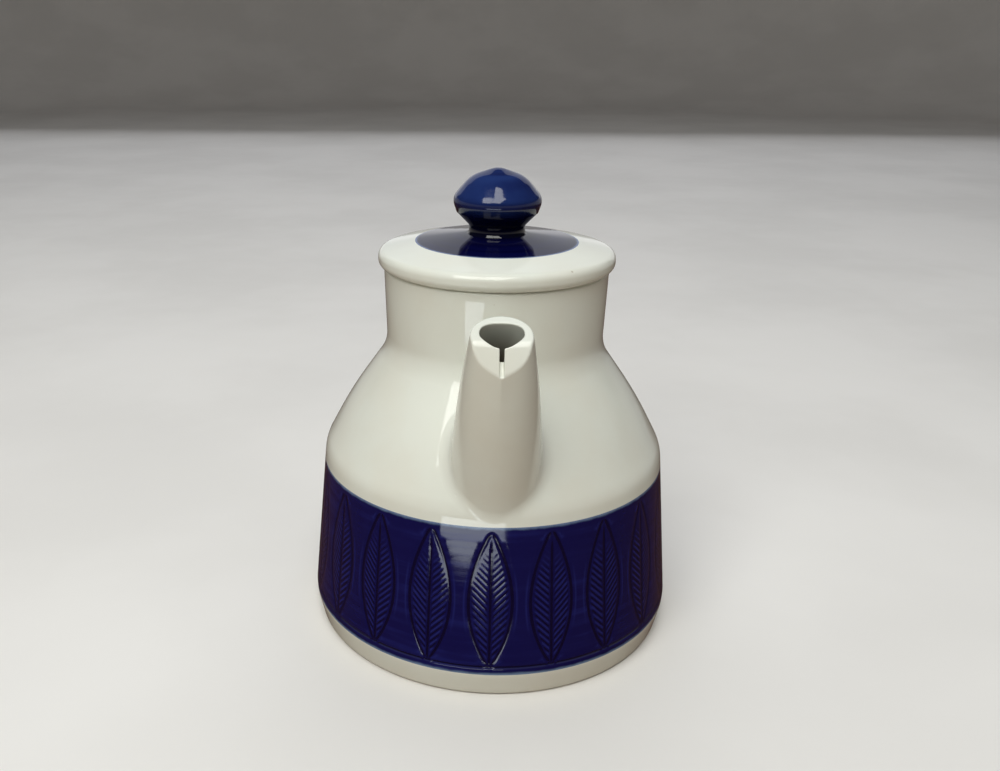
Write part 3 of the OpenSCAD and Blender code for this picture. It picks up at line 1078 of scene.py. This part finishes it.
@dataclass
class LeafBand:
    """The blue band: a thin coat with a row of upright leaves pressed into it."""

    wall: Wall
    box: NodeBox
    coat: float = 0.6
    leaves: int = 20
    first_leaf: float = math.radians(-1.0)
    leaf_low: float = 12.4
    leaf_high: float = 60.6
    leaf_half: float = 7.3
    stem_low: float = 12.6
    vein_pitch: float = 2.3
    vein_rise: float = 1.0
    vein_fade: tuple[float, float] = (44.0, 56.0)
    outline_depth: float = 0.17
    outline_half: float = 0.95
    midrib_depth: float = 0.15
    midrib_half: float = 0.7
    vein_depth: float = 0.032
    pillow: float = 0.04
    line_z: float = 12.4
    line_depth: float = 0.26
    line_half: float = 0.45
    edge_fade: float = 7.0
    rows: int = 118
    back_rows: int = 6

    def leaf_width(self, z: np.ndarray) -> np.ndarray:
        """Half width of a leaf at a height: a pointed oval, fuller below its middle.

        Args:
            z: Heights.

        Returns:
            Half widths, 0 beyond the tips.
        """
        t = np.clip((z - self.leaf_low) / (self.leaf_high - self.leaf_low), 0, 1)
        return self.leaf_half * np.sin(np.pi * t ** 0.92) ** 0.85

    def column_places(self, width: np.ndarray, half_pitch: np.ndarray) -> np.ndarray:
        """Distances of the columns from a leaf's middle, close together where the relief turns.

        Args:
            width: The leaf's half width for each row.
            half_pitch: Half the distance between two leaves for each row.

        Returns:
            One row of distances for each width, from the middle out to halfway between two leaves.
        """
        w = np.maximum(width, LEAST_LEAF_WIDTH)[:, None]
        rib = np.array([0, 0.26, 0.55])
        inner = np.linspace(0.16, 0.86, 8)
        edge = np.array([-0.75, -0.4, 0, 0.4, 0.85])
        rest = np.array([0.3, 0.6, 0.86])
        near = np.broadcast_to(rib, (len(w), 3))
        blade = rib[-1] + inner * (w - self.outline_half - 0.05 - rib[-1])
        line = w + edge
        gap = line[:, -1:] + rest * (half_pitch[:, None] - line[:, -1:])
        return np.hstack([near, blade, line, gap])

    def depth(self, x: np.ndarray, z: np.ndarray) -> tuple[np.ndarray, np.ndarray]:
        """Relief of the coat's face.

        Args:
            x: Distance from the leaf's middle.
            z: Height.

        Returns:
            Depths under the face, and how the glaze lies: 1 where it pools, -1 on the vein crests and on the
            painted highlight just outside each leaf's outline.
        """
        width = self.leaf_width(z)
        inside = np.clip((width - x) / 0.5, 0, 1)
        present = np.clip((z - self.leaf_low) / 1.5, 0, 1) * np.clip((self.leaf_high - z) / 1.5, 0, 1)
        outline = np.exp(-((x - width) / self.outline_half) ** 2 * 2.2) * present
        stem = np.clip((z - self.stem_low) / 1.0, 0, 1) * np.clip((self.leaf_high - 1 - z) / 6, 0, 1)
        midrib = np.exp(-(x / self.midrib_half) ** 2 * 1.8) * stem
        wave = 0.5 + 0.5 * np.cos((z - self.vein_rise * x) / self.vein_pitch * TURN)
        fade = np.clip((self.vein_fade[1] - z) / (self.vein_fade[1] - self.vein_fade[0]), 0, 1)
        blade = inside * np.clip((x - 0.5) / 0.5, 0, 1) * np.clip((width - 0.6 - x) / 0.5, 0, 1) * fade
        blade = blade * np.clip((z - self.leaf_low - 1) / 3, 0, 1)
        line = np.exp(-((z - self.line_z) / self.line_half) ** 2 * 1.8)
        grooves = np.maximum.reduce([self.outline_depth * outline, self.midrib_depth * midrib,
                                     self.line_depth * line])
        swell = self.pillow * inside * (np.clip(x, 0, None) / np.maximum(width, 1)) ** 2 * (1 - outline)
        sunk = np.maximum(grooves, self.vein_depth * wave * blade) + swell
        # Painted highlight: a lighter strip just outside each leaf's outline, where light would catch the
        # groove's outer wall.
        painted_edge_highlight = np.exp(-((x - width - 1.5) / 0.5) ** 2) * present * 0.6
        pooled = np.maximum.reduce([outline, midrib, 0.9 * line, 0.8 * wave * blade])
        crest_and_highlight = np.maximum((1 - wave) * blade, painted_edge_highlight)
        return sunk, pooled - crest_and_highlight * (1 - pooled)

    def build(self, glaze: bpy.types.Material) -> bpy.types.Object:
        """Builds and dresses the band.

        Args:
            glaze: The blue relief glaze.

        Returns:
            The band.
        """
        low, high = self.box.low.z, self.box.high.z
        middle_levels = np.linspace(low + 0.6, high - 0.6, self.rows)
        levels = np.concatenate([[low, low + 0.2], middle_levels, [high - 0.2, high]])
        half_angle = math.pi / self.leaves
        radius = self.wall.radius(levels)
        x = self.column_places(self.leaf_width(levels), np.ones(len(levels)))
        for _ in range(5):
            above = np.clip((levels - low) / self.edge_fade, 0, 1)
            below = np.clip((high - levels) / self.edge_fade, 0, 1)
            window = above * below
            window = (window * window * (3 - 2 * window))[:, None]
            half_pitch = radius * half_angle
            widest = np.maximum(self.leaf_width(levels), LEAST_LEAF_WIDTH)[:, None]
            lift = self.vein_rise * window * np.minimum(x, widest)
            z = levels[:, None] + lift * below[:, None]
            width = np.stack([self.leaf_width(z[:, j]) for j in range(z.shape[1])], axis=1)
            x = np.stack([self.column_places(w, half_pitch)[:, j] for j, w in enumerate(width.T)], axis=1)
        depth, lie_and_highlight = self.depth(x, z)
        angle = x / radius[:, None]
        angles = np.concatenate([-angle[:, :0:-1], angle], axis=1)
        heights = np.concatenate([z[:, :0:-1], z], axis=1)
        depths = np.concatenate([depth[:, :0:-1], depth], axis=1)
        lies = np.concatenate([lie_and_highlight[:, :0:-1], lie_and_highlight], axis=1)
        turns = self.first_leaf - math.pi / 2 + np.arange(self.leaves) * TURN / self.leaves
        around = (turns[None, :, None] + angles[:, None, :]).reshape(len(levels), -1)
        tall = np.tile(heights, (1, self.leaves))
        sunk = np.tile(depths, (1, self.leaves))
        face_r = self.wall.radius(tall) - sunk
        back_z = np.linspace(high, low, self.back_rows)[:, None] + np.zeros((1, around.shape[1]))
        back_r = self.wall.radius(back_z) - self.coat
        back_a = np.tile(around[-1], (self.back_rows, 1))
        r, a, z_all = np.vstack([face_r, back_r]), np.vstack([around, back_a]), np.vstack([tall, back_z])
        points = np.stack([r * np.cos(a), r * np.sin(a), z_all], axis=-1).reshape(-1, 3)
        band = make_object("relief_band", points, grid_faces(len(r), r.shape[1], wrap_rows=True))
        relief = band.data.attributes.new("relief", "FLOAT", "POINT")
        shares = np.zeros(r.shape, dtype=np.float32)
        shares[:len(levels)] = np.tile(lies, (1, self.leaves))
        relief.data.foreach_set("value", shares.ravel())
        dress(band, Body.POT, Slot.BLUE_RELIEF, "blue_band", glaze)
        return band


@dataclass
class Spout:
    """The spout: a tapering tube that leans forward, with a slit beak and a luted foot."""

    pot: PotBody
    wall: Wall
    lean: float = math.radians(24)
    root_d: float = 29.2
    tip_d: float = 18.2
    length: float = 51.0
    thickness: float = 3.0
    rim_fall: float = math.tan(math.radians(3))
    beak_fall: float = math.tan(math.radians(44))
    beak_start: float = 2.7
    knee_blend: float = 1.3
    keel: float = 0.20
    keel_span: float = 0.55
    bore_side: float = 2.75
    bore_ends: float = 4.4
    bore_back: float = 0.9
    slit_depth: float = 3.0
    slit_run: float = 7.3
    outer_edge: float = 0.8
    inner_edge: float = 0.7
    fillet: float = 4.8
    fillet_low: float = 2.2
    skin_below: float = 0.55
    bore_below: float = 0.5
    skin_reach: float = 74.0
    skin_rows: int = 44
    side_columns: int = 52
    bore_rows: int = 29

    def radius(self, s: np.ndarray | float) -> np.ndarray:
        """Outer radius at a length along the axis from the root."""
        t = np.asarray(s) / self.length
        return (self.root_d + (self.tip_d - self.root_d) * (t + t * np.abs(t)) / 2) / 2

    def lip(self, n: np.ndarray) -> np.ndarray:
        """Length along the axis of the lip's face at a distance in front of the axis.

        Args:
            n: Distances in front of the axis.

        Returns:
            Lengths along the axis.
        """
        rim = self.length + self.rim_fall * n
        beak = self.length + self.rim_fall * self.beak_start - self.beak_fall * (n - self.beak_start)
        mix = np.maximum(self.knee_blend - np.abs(rim - beak), 0) ** 2 / (4 * self.knee_blend)
        return np.minimum(rim, beak) - mix

    def outside(self, phi: float, s: np.ndarray) -> tuple[np.ndarray, np.ndarray]:
        """The outer skin: round below, with a soft keel in front near the lip.

        Args:
            phi: Angle round the axis, from the front.
            s: Lengths along the axis.

        Returns:
            Distances across and in front of the axis.
        """
        keel = self.keel * np.clip((s - 20) / 24, 0, 1) ** 1.5
        ridge = keel * abs(math.sin(phi)) * math.exp(-(min(phi, TURN - phi) / self.keel_span) ** 2)
        return self.radius(s) * math.sin(phi), self.radius(s) * (math.cos(phi) - ridge)

    def inside(self, phi: float, s: np.ndarray) -> tuple[np.ndarray, np.ndarray]:
        """The bore: round below, and narrower with a flat back at the lip.

        Args:
            phi: Angle round the axis, from the front.
            s: Lengths along the axis.

        Returns:
            Distances across and in front of the axis.
        """
        near = np.clip((s - self.length + 16) / 16, 0, 1)
        near = near * near * (3 - 2 * near)
        half_x = self.radius(s) - self.thickness + near * (self.thickness - self.bore_side)
        half_n = self.radius(s) - self.thickness + near * (self.thickness - self.bore_ends)
        power = 1 - 0.22 * near * (math.cos(phi) < 0)
        x = half_x * math.copysign(1, math.sin(phi)) * abs(math.sin(phi)) ** power
        n = half_n * math.copysign(1, math.cos(phi)) * abs(math.cos(phi)) ** power
        return x, n - self.bore_back * near

    def columns(self) -> list[tuple[float, float, float]]:
        """Angles of the columns on the outer skin and in the bore, and how deep the slit is there.

        Returns:
            One (outer angle, bore angle, share of the slit's depth) for each column, once round.
        """
        places = [0, 0.3, 0.48, 0.58, 0.64, 0.70, 0.78, 0.92, 1.2, 1.6, 2.1]
        shares = [1, 1, 0.99, 0.93, 0.5, 0.09, 0.02, 0, 0, 0, 0]
        outer_r = float(self.radius(self.length - 4))
        bore_r = float(self.radius(self.length)) - self.bore_side
        half = [(math.asin(x / outer_r), math.asin(x / bore_r), share) for x, share in zip(places, shares)]
        last_outer, last_bore, _ = half[-1]
        for i in range(1, self.side_columns + 1):
            t = i / self.side_columns
            half.append((last_outer + (math.pi - last_outer) * t, last_bore + (math.pi - last_bore) * t, 0.0))
        other = [(TURN - a, TURN - b, share) for a, b, share in reversed(half[1:-1])]
        return half + other

    def place(self, x: np.ndarray, n: np.ndarray, s: np.ndarray) -> np.ndarray:
        """Turns the spout's own coordinates into the pot's.

        Args:
            x: Distances across the axis.
            n: Distances in front of the axis.
            s: Lengths along the axis.

        Returns:
            Points, with xyz along the last axis.
        """
        x, n, s = np.broadcast_arrays(x, n, s)
        root_r = self.pot.corner_radius(self.pot.root_z)
        y = -root_r - n * math.cos(self.lean) - s * math.sin(self.lean)
        z = self.pot.root_z - n * math.sin(self.lean) + s * math.cos(self.lean)
        return np.stack([x, y, z], axis=-1)

    def lip_height(self, n: np.ndarray, share: float) -> np.ndarray:
        """Height of the lip's face, with the slit cut into it.

        Args:
            n: Distances in front of the axis.
            share: Share of the slit's depth at this column.

        Returns:
            Lengths along the axis.
        """
        forward = np.clip((n - self.beak_start) / self.slit_run, 0, 1)
        return self.lip(n) - share * self.slit_depth * (1 - forward ** 4)

    def edge(self, phi: float, share: float, skin: str) -> tuple[float, float, float]:
        """Where a column of the skin or the bore meets the lip's face.

        Args:
            phi: The column's angle.
            share: Share of the slit's depth at this column.
            skin: "outside" or "inside".

        Returns:
            The point, in the spout's own coordinates.
        """
        s = np.array(self.length)
        for _ in range(12):
            x, n = getattr(self, skin)(phi, s)
            s = self.lip_height(n, share)
        return float(x), float(n), float(s)

    def lip_line(self, outer: tuple[float, float, float], bore: tuple[float, float, float],
                 share: float) -> np.ndarray:
        """Points over the lip from its outer edge to the bore, with both edges rounded.

        Args:
            outer: Outer edge, in the spout's own coordinates.
            bore: Bore's edge, in the same.
            share: Share of the slit's depth at this column.

        Returns:
            Points in the pot's frame.
        """
        xo, no, _ = outer
        xb, nb, _ = bore
        t = np.linspace(0, 1, 9)
        x, n = xo + (xb - xo) * t, no + (nb - no) * t
        return self.place(x, n, self.lip_height(n, share))

    def build(self, glaze: bpy.types.Material) -> bpy.types.Object:
        """Builds and dresses the spout.

        Args:
            glaze: The white glaze.

        Returns:
            The spout.
        """
        spec = self.columns()
        skins, tops = [], []
        for outer_phi, bore_phi, share in spec:
            outer = self.edge(outer_phi, share, "outside")
            bore = self.edge(bore_phi, share, "inside")
            s = np.linspace(outer[2], -self.skin_below * self.length, 170)
            skin = self.place(*self.outside(outer_phi, s), s)
            s = np.linspace(bore[2], -self.bore_below * self.length, 120)
            hole = self.place(*self.inside(bore_phi, s), s)
            tops.append(self._rounded_top(skin, self.lip_line(outer, bore, share), hole))
            skins.append(resample(skin, np.linspace(self.outer_edge, self.skin_reach, 240)))
        front = (1 + np.cos([outer_phi for outer_phi, _, _ in spec])) / 2
        widths = self.fillet + (self.fillet_low - self.fillet) * front ** 2
        joint = LutedJoint(self.wall, widths, fullness=0.62, steps=13)
        outside = joint.close(np.array(skins), self.skin_rows)
        rings = np.concatenate([outside[:, ::-1], np.array(tops)], axis=1)
        points = rings.transpose(1, 0, 2).reshape(-1, 3)
        faces = grid_faces(rings.shape[1], rings.shape[0], wrap_rows=True)
        spout = make_object("spout_tube", points, faces, sharp=CRISP_LUTED_ANGLE)
        # Marks the bore for tea staining and painted shade: none at the lip's edge, full from about a third
        # of the way down the bore.
        stain_and_shade = np.zeros(rings.shape[1], dtype=np.float32)
        stain_and_shade[-self.bore_rows:] = np.clip(np.linspace(-0.08, 3.2, self.bore_rows), 0, 1)
        layer = spout.data.attributes.new("stain_and_shade", "FLOAT", "POINT")
        layer.data.foreach_set("value", np.repeat(stain_and_shade, rings.shape[0]))
        dress(spout, Body.POT, Slot.WHITE, "spout", glaze)
        return spout

    def _rounded_top(self, skin: np.ndarray, lip: np.ndarray, hole: np.ndarray) -> np.ndarray:
        """One column from the outer edge over the lip and down the bore to the wall.

        Args:
            skin: Outer skin, downward from the lip.
            lip: Lip's face, inward.
            hole: Bore, downward from the lip.

        Returns:
            The column's points.
        """
        across = float(np.linalg.norm(np.diff(lip, axis=0), axis=1).sum())
        shares = np.linspace(0, 1, 7)[1:]
        low = resample(skin, np.array([self.outer_edge]))[0]
        on_lip, off_lip = resample(lip, np.array([self.outer_edge, across - self.inner_edge]))
        down = resample(hole, np.array([self.inner_edge]))[0]
        outer = bezier(low, low + (skin[0] - low) * 0.7, on_lip + (lip[0] - on_lip) * 0.7, on_lip, shares)
        flat = resample(lip, np.linspace(self.outer_edge, across - self.inner_edge, 7)[1:])
        inner = bezier(off_lip, off_lip + (lip[-1] - off_lip) * 0.7, down + (hole[0] - down) * 0.7, down,
                       shares)
        gaps = self.wall.gap(hole)
        first = int(np.argmax(gaps < -0.12))
        run = float(np.linalg.norm(np.diff(hole[:first + 1], axis=0), axis=1).sum())
        bore = resample(hole, np.linspace(self.inner_edge, run, self.bore_rows + 1)[1:])
        return np.vstack([outer, flat, inner, bore])


@dataclass
class Handle:
    """The handle: a broad strap that leaves the neck level and loops down to the flank."""

    wall: Wall
    box: NodeBox
    loop_r: float = 25.5
    top_z: float = 121.0
    strap_w: float = 18.0
    strap_t: float = 9.0
    squareness: float = 0.75
    loop_end: float = math.radians(-130)
    fillet: float = 3.6
    neck_start: float = 30.0
    columns: int = 72
    rows: int = 34

    def path(self) -> tuple[np.ndarray, np.ndarray]:
        """The middle of the strap, from inside the neck to inside the flank.

        Returns:
            The path's points in the middle plane, as [y, z] rows, and the outward direction at each.
        """
        loop_y = self.box.high.y - self.strap_t / 2 - self.loop_r
        loop_z = self.top_z - self.loop_r
        straight = np.stack([np.linspace(self.neck_start, loop_y, 24)[:-1], np.full(23, self.top_z)], axis=1)
        angles = np.linspace(math.pi / 2, self.loop_end, 150)
        arc = np.stack([loop_y + self.loop_r * np.cos(angles), loop_z + self.loop_r * np.sin(angles)],
                       axis=1)
        out = np.vstack([np.tile([0.0, 1.0], (len(straight), 1)),
                         np.stack([np.cos(angles), np.sin(angles)], axis=1)])
        return np.vstack([straight, arc]), out

    def build(self, glaze: bpy.types.Material) -> bpy.types.Object:
        """Builds and dresses the handle.

        Args:
            glaze: The white glaze.

        Returns:
            The handle.
        """
        path, out = self.path()
        lines = []
        for a in np.arange(self.columns) * TURN / self.columns:
            thick = math.copysign(abs(math.cos(a)) ** self.squareness, math.cos(a)) * self.strap_t / 2
            wide = math.copysign(abs(math.sin(a)) ** self.squareness, math.sin(a)) * self.strap_w / 2
            middle = path + out * thick
            lines.append(np.column_stack([np.full(len(path), wide), middle]))
        lines = np.array(lines)
        middle_row = len(path) // 2
        joint = LutedJoint(self.wall, np.full(self.columns, self.fillet))
        upper = joint.close(lines[:, middle_row::-1], self.rows)
        lower = joint.close(lines[:, middle_row:], self.rows)
        rings = np.concatenate([upper[:, :0:-1], lower], axis=1)
        points = rings.transpose(1, 0, 2).reshape(-1, 3)
        faces: list[Sequence[int]] = list(grid_faces(rings.shape[1], self.columns))
        last_row = (rings.shape[1] - 1) * self.columns
        for first, ring in ((0, rings[:, 0]), (last_row, rings[:, -1])):
            hub = len(points)
            points = np.vstack([points, ring.mean(axis=0)])
            for j in range(self.columns):
                k = (j + 1) % self.columns
                faces.append((hub, first + k, first + j) if first == 0 else (hub, first + j, first + k))
        handle = make_object("handle_strap", points, faces, sharp=CRISP_LUTED_ANGLE)
        dress(handle, Body.POT, Slot.WHITE, "handle", glaze)
        return handle


# ---- the lid ----


@dataclass
class Lid:
    """The lid: a turned plate with a flange under it, a blue disc on it and a blue knob."""

    rim_r: float = 2.7
    plate_t: float = 4.2
    hollow_r: float = 3.0
    coat: float = 0.5
    disc_r: float = field(init=False)
    disc_z: float = field(init=False)
    lid_r: float = field(init=False)
    seat_z: float = field(init=False)
    flange: NodeBox = field(init=False)
    knob: NodeBox = field(init=False)
    rim_h: float = 5.8
    flange_wall: float = 3.0
    flange_edge: float = 1.0
    knob_base_r: float = 10.5
    knob_crease_h: float = 7.6

    def __post_init__(self) -> None:
        """Reads the lid's places from the frame."""
        plate, disc = NodeBox.of("lid_plate"), NodeBox.of("lid_disc")
        self.lid_r, self.seat_z = plate.radius, plate.low.z
        self.disc_r, self.disc_z = disc.radius, disc.low.z + self.coat
        self.flange, self.knob = NodeBox.of("lid_flange"), NodeBox.of("lid_knob")

    @property
    def flange_bore(self) -> float:
        """Inner radius of the flange."""
        return self.flange.radius - self.flange_wall

    def plate_outline(self) -> np.ndarray:
        """Section of the plate, with its hollow below and the disc's recess above.

        Returns:
            [radius, height] rows.
        """
        knob_z = self.knob.low.z
        return rounded([
            Corner(0, knob_z - self.plate_t),
            Corner(self.flange_bore, self.disc_z - self.plate_t, self.hollow_r),
            Corner(self.flange_bore, self.seat_z),
            Corner(self.lid_r, self.seat_z, self.rim_r),
            Corner(self.lid_r, self.seat_z + self.rim_h, self.rim_r),
            Corner(self.disc_r, self.disc_z),
            Corner(self.disc_r, self.disc_z - self.coat),
            Corner(self.knob_base_r, knob_z - self.coat),
            Corner(self.knob_base_r, knob_z),
            Corner(0, knob_z)])

    def disc_outline(self) -> np.ndarray:
        """Section of the disc's coat, closed on itself.

        Returns:
            [radius, height] rows.
        """
        knob_z = self.knob.low.z
        return rounded([
            Corner(self.knob_base_r, knob_z),
            Corner(self.knob_base_r, knob_z - self.coat),
            Corner(self.disc_r, self.disc_z - self.coat),
            Corner(self.disc_r, self.disc_z),
            Corner(self.knob_base_r + 1e-3, knob_z)], side_step=1.0)

    def flange_outline(self) -> np.ndarray:
        """Section of the flange, closed on itself.

        Returns:
            [radius, height] rows.
        """
        inner, outer = self.flange_bore, self.flange.radius
        low, high = self.flange.low.z, self.flange.high.z
        middle = (inner + outer) / 2
        return rounded([
            Corner(middle, low),
            Corner(outer, low, self.flange_edge),
            Corner(outer, high),
            Corner(inner, high),
            Corner(inner, low, self.flange_edge),
            Corner(middle - 1e-3, low)])

    def knob_outline(self) -> np.ndarray:
        """Section of the knob: a flared neck, a crease, a full side and a low dome.

        Returns:
            [radius, height] rows.
        """
        z = self.knob.low.z
        peak = self.knob.high.z + 0.34
        line = rounded([
            Corner(0, z),
            Corner(self.knob_base_r, z),
            Corner(8.8, z + 2.0, 2.7),
            Corner(14.3, z + self.knob_crease_h, 0.8),
            Corner(15.9, z + 12.3, 4.4),
            Corner(9.5, z + 19.9, 12.0),
            Corner(0, peak, 8.0),
            Corner(-9.5, z + 19.9)], side_step=0.8)
        return np.vstack([line[:1], ended_on_axis(line[1:])])

    def build(self, glaze: bpy.types.Material, clay: bpy.types.Material, disc_glaze: bpy.types.Material,
              knob_glaze: bpy.types.Material) -> None:
        """Builds and dresses the lid's four pieces.

        Args:
            glaze: The white glaze.
            clay: The unglazed clay of the seat.
            disc_glaze: The blue glaze with a feathered rim.
            knob_glaze: The knob's blue glaze.
        """
        plate = turned("lid_cover", self.plate_outline())
        dress(plate, Body.LID, Slot.WHITE, "lid_plate", glaze, clay)
        paint_flats(plate, 1, [(self.seat_z, (self.flange.radius, self.lid_r - self.rim_r))])
        flange = turned("lid_collar", self.flange_outline(), segments=256)
        dress(flange, Body.LID, Slot.WHITE, "lid_flange", glaze)
        disc = turned("lid_blue_disc", self.disc_outline())
        dress(disc, Body.LID, Slot.BLUE, "lid_disc", disc_glaze)
        knob = turned("lid_button", self.knob_outline(), segments=256)
        dress(knob, Body.LID, Slot.BLUE, "lid_knob", knob_glaze)


# ---- the studio ----


@dataclass
class Studio:
    """The camera, the floor and the light around the pot."""

    lens: float = 34.82
    shift: tuple[float, float] = (0.0611, -0.0054)
    eye: tuple[float, float, float] = (-10.03, -337.90, 213.76)
    pitch: float = math.radians(20.21)
    yaw: float = math.radians(-1.728)
    roll: float = math.radians(0.198)
    floor_r: float = 2.4
    bend_r: float = 0.9
    wall_top: float = 1.8
    pane_step: float = 0.32
    ground: Colour = (0.070, 0.034, 0.024)
    horizon: Colour = (0.30, 0.29, 0.28)
    room: Colour = (0.030, 0.030, 0.032)

    def set_camera(self) -> None:
        """Makes the scene's camera."""
        forward = Vector((math.sin(self.yaw) * math.cos(self.pitch),
                          math.cos(self.yaw) * math.cos(self.pitch), -math.sin(self.pitch)))
        right = Vector((math.cos(self.yaw), -math.sin(self.yaw), 0))
        up = right.cross(forward)
        right, up = (right * math.cos(self.roll) + up * math.sin(self.roll),
                     up * math.cos(self.roll) - right * math.sin(self.roll))
        data = bpy.data.cameras.new("camera")
        data.lens, data.sensor_width = self.lens, SENSOR_WIDTH
        data.shift_x, data.shift_y = self.shift
        data.clip_start = 0.01
        camera = bpy.data.objects.new("camera", data)
        turn = Matrix((right, up, -forward)).transposed()
        camera.matrix_world = Matrix.Translation(Vector(self.eye) * MM) @ turn.to_4x4()
        bpy.context.scene.collection.objects.link(camera)
        bpy.context.scene.camera = camera

    def lay_floor(self, paint: bpy.types.Material) -> None:
        """Lays the floor that the pot stands on, which sweeps up into a wall far behind it.

        Args:
            paint: Its material.
        """
        segments = 96
        sweep = np.linspace(0, math.pi / 2, 14)
        rings = [(0.2, 0.0), (0.6, 0.0), (1.2, 0.0)]
        rings += [(self.floor_r + self.bend_r * math.sin(a), self.bend_r * (1 - math.cos(a))) for a in sweep]
        rings.append((self.floor_r + self.bend_r, self.wall_top))
        angles = np.arange(segments) * TURN / segments
        points = [[0.0, 0.0, 0.0]] + [[r * math.cos(a), r * math.sin(a), z] for r, z in rings for a in angles]
        faces: list[Sequence[int]] = [(0, 1 + j, 1 + (j + 1) % segments) for j in range(segments)]
        faces += [[1 + i for i in face] for face in grid_faces(len(rings), segments)]
        floor = make_object("floor", np.array(points) / MM, faces)
        floor.data.materials.append(paint)
        floor.visible_glossy = False

    def light(self, name: str, place: Vector, aim: Vector, size: tuple[float, float], power: float,
              colour: Colour) -> bpy.types.Object:
        """Hangs a soft rectangular light.

        Args:
            name: Name of the light.
            place: Where it hangs, in metres.
            aim: What it faces, in metres.
            size: Its width and height, in metres.
            power: Its power in watts.
            colour: Its colour.

        Returns:
            The light.
        """
        data = bpy.data.lights.new(name, "AREA")
        data.shape = "RECTANGLE"
        data.size, data.size_y = size
        data.energy, data.color = power, colour
        lamp = bpy.data.objects.new(name, data)
        lamp.location = place
        lamp.rotation_euler = (aim - place).to_track_quat("-Z", "Y").to_euler()
        lamp.visible_camera = False
        bpy.context.scene.collection.objects.link(lamp)
        return lamp

    def set_world(self) -> None:
        """Surrounds the scene with a dim room over a dim, warm ground, paler at the horizon."""
        world = bpy.data.worlds.new("room")
        world.use_nodes = True
        bpy.context.scene.world = world
        world.node_tree.nodes.clear()
        g = Graph(world.node_tree)
        around = g.add("ShaderNodeTexCoord").outputs["Generated"]
        up = g.add("ShaderNodeSeparateXYZ", {0: around}).outputs["Z"]
        colour = g.blend(g.ramp(up, -0.22, -0.12), self.ground, self.horizon)
        colour = g.blend(g.ramp(up, 0.06, 0.18), colour, self.room)
        background = g.add("ShaderNodeBackground", {"Color": colour, "Strength": 1.0})
        g.add("ShaderNodeOutputWorld", {"Surface": background.outputs[0]})

    def build(self, paint: bpy.types.Material) -> None:
        """Builds the whole studio.

        Args:
            paint: The floor's material.
        """
        self.set_camera()
        self.lay_floor(paint)
        self.set_world()
        middle = Vector((0, 0, 0.08))
        key_place = Vector((-0.32, -0.86, 1.28))
        ceiling = self.light("ceiling", Vector((0, 0.10, 1.5)), middle, (1.6, 1.6), 9.6, (0.95, 0.97, 1.0))
        ceiling.visible_glossy = False
        for name, side in (("key_left", -self.pane_step), ("key_right", self.pane_step)):
            shift = Vector((side, 0, 0))
            self.light(name, key_place + shift, middle + shift, (0.58, 1.1), 9.6, (0.98, 0.98, 0.93))
        self.light("wall", Vector((0.0, 1.5, 0.7)), middle, (2.4, 1.2), 4.6, (0.93, 0.95, 1.0))
        self.light("window", Vector((-0.24, -1.15, -0.30)), Vector((0, 0, 0.05)), (0.84, 0.10), 1.0,
                   (0.85, 0.93, 1.0))
        bpy.context.scene.view_settings.view_transform = "Standard"


def main() -> None:
    """Builds the pot, the lid and the studio, and reports each piece."""
    logging.basicConfig(level=logging.INFO, format="%(name)s: %(message)s")
    effects = GlazeEffects()
    clay = BareClay("bare_clay").material()
    white = WhiteGlaze("white_glaze", effects).material()
    sizes = PotSizes()
    pot = PotBody(sizes)
    wall = pot.wall()
    pot.build(white, clay)
    band_glaze = BlueReliefGlaze("blue_relief_glaze", effects, pot.band.low.z, pot.band.high.z).material()
    LeafBand(wall, pot.band, coat=sizes.coat).build(band_glaze)
    Spout(pot, wall).build(white)
    Handle(wall, NodeBox.of("handle")).build(white)
    lid = Lid()
    disc_glaze = BlueGlaze("blue_disc_glaze", effects, usual=(0.0012, 0.0014, 0.024),
                           worn=(0.0022, 0.0030, 0.042), rim_radius=lid.disc_r).material()
    # The knob's blue is lighter and greener than the disc's, a painted reflection of the ceiling on its top;
    # painted shade darkens it from 6 mm above its crease and is full from 1.5 mm below it.
    crease_z = lid.knob.low.z + lid.knob_crease_h
    knob_glaze = BlueGlaze("blue_knob_glaze", effects, usual=(0.0060, 0.0130, 0.080),
                           worn=(0.0140, 0.0330, 0.140), painted_shade_span=(crease_z - 1.5, crease_z + 6.0)).material()
    lid.build(white, clay, disc_glaze, knob_glaze)
    Studio().build(FloorPaint("pale_floor").material())


if __name__ == "__main__":
    main()
